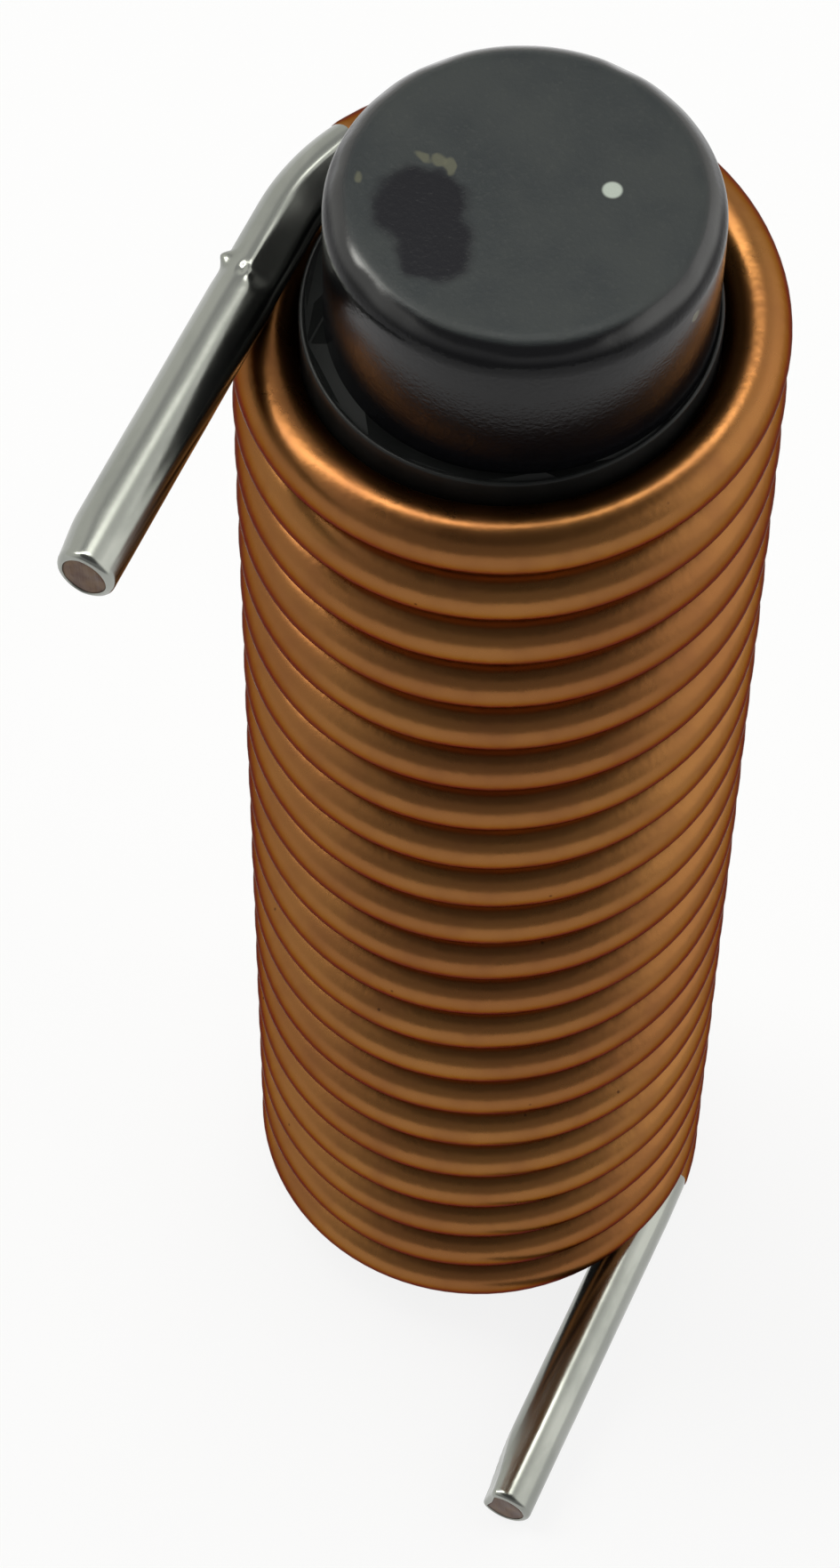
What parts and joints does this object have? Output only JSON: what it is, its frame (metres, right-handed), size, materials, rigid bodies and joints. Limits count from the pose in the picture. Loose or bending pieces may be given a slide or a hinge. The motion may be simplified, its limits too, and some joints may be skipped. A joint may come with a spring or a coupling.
{
  "type": "rod core inductor",
  "caption": "Ferrite rod in a thin sleeve inside a single-layer winding of thick enamelled copper wire, with two tinned wire ends square to the rod.",
  "frame": {"origin": "on the rod's lower face, where the winding's axis crosses the plane that the inductor stands on", "axes": "+Z along the winding's axis, up the rod; -Y the way both wire ends point; +X from the upper wire end's side to the lower wire end's side"},
  "size_m": [0.0114, 0.0156, 0.0405],
  "materials": {
    "ferrite": "dark grey sintered ferrite, ground smooth, satin",
    "sleeve": "black insulating sleeve, glossy",
    "enamelled_copper": "copper wire under clear amber enamel, glossy",
    "tinning": "solder over the scraped ends of the wire, silvery, bright",
    "cut_copper": "bare copper at the cut faces of the wire ends, brown"
  },
  "bodies": {
    "root": {"ferrite_rod": "ferrite", "insulating_sleeve": "sleeve", "winding": "enamelled_copper"}
  },
  "joints": []
}
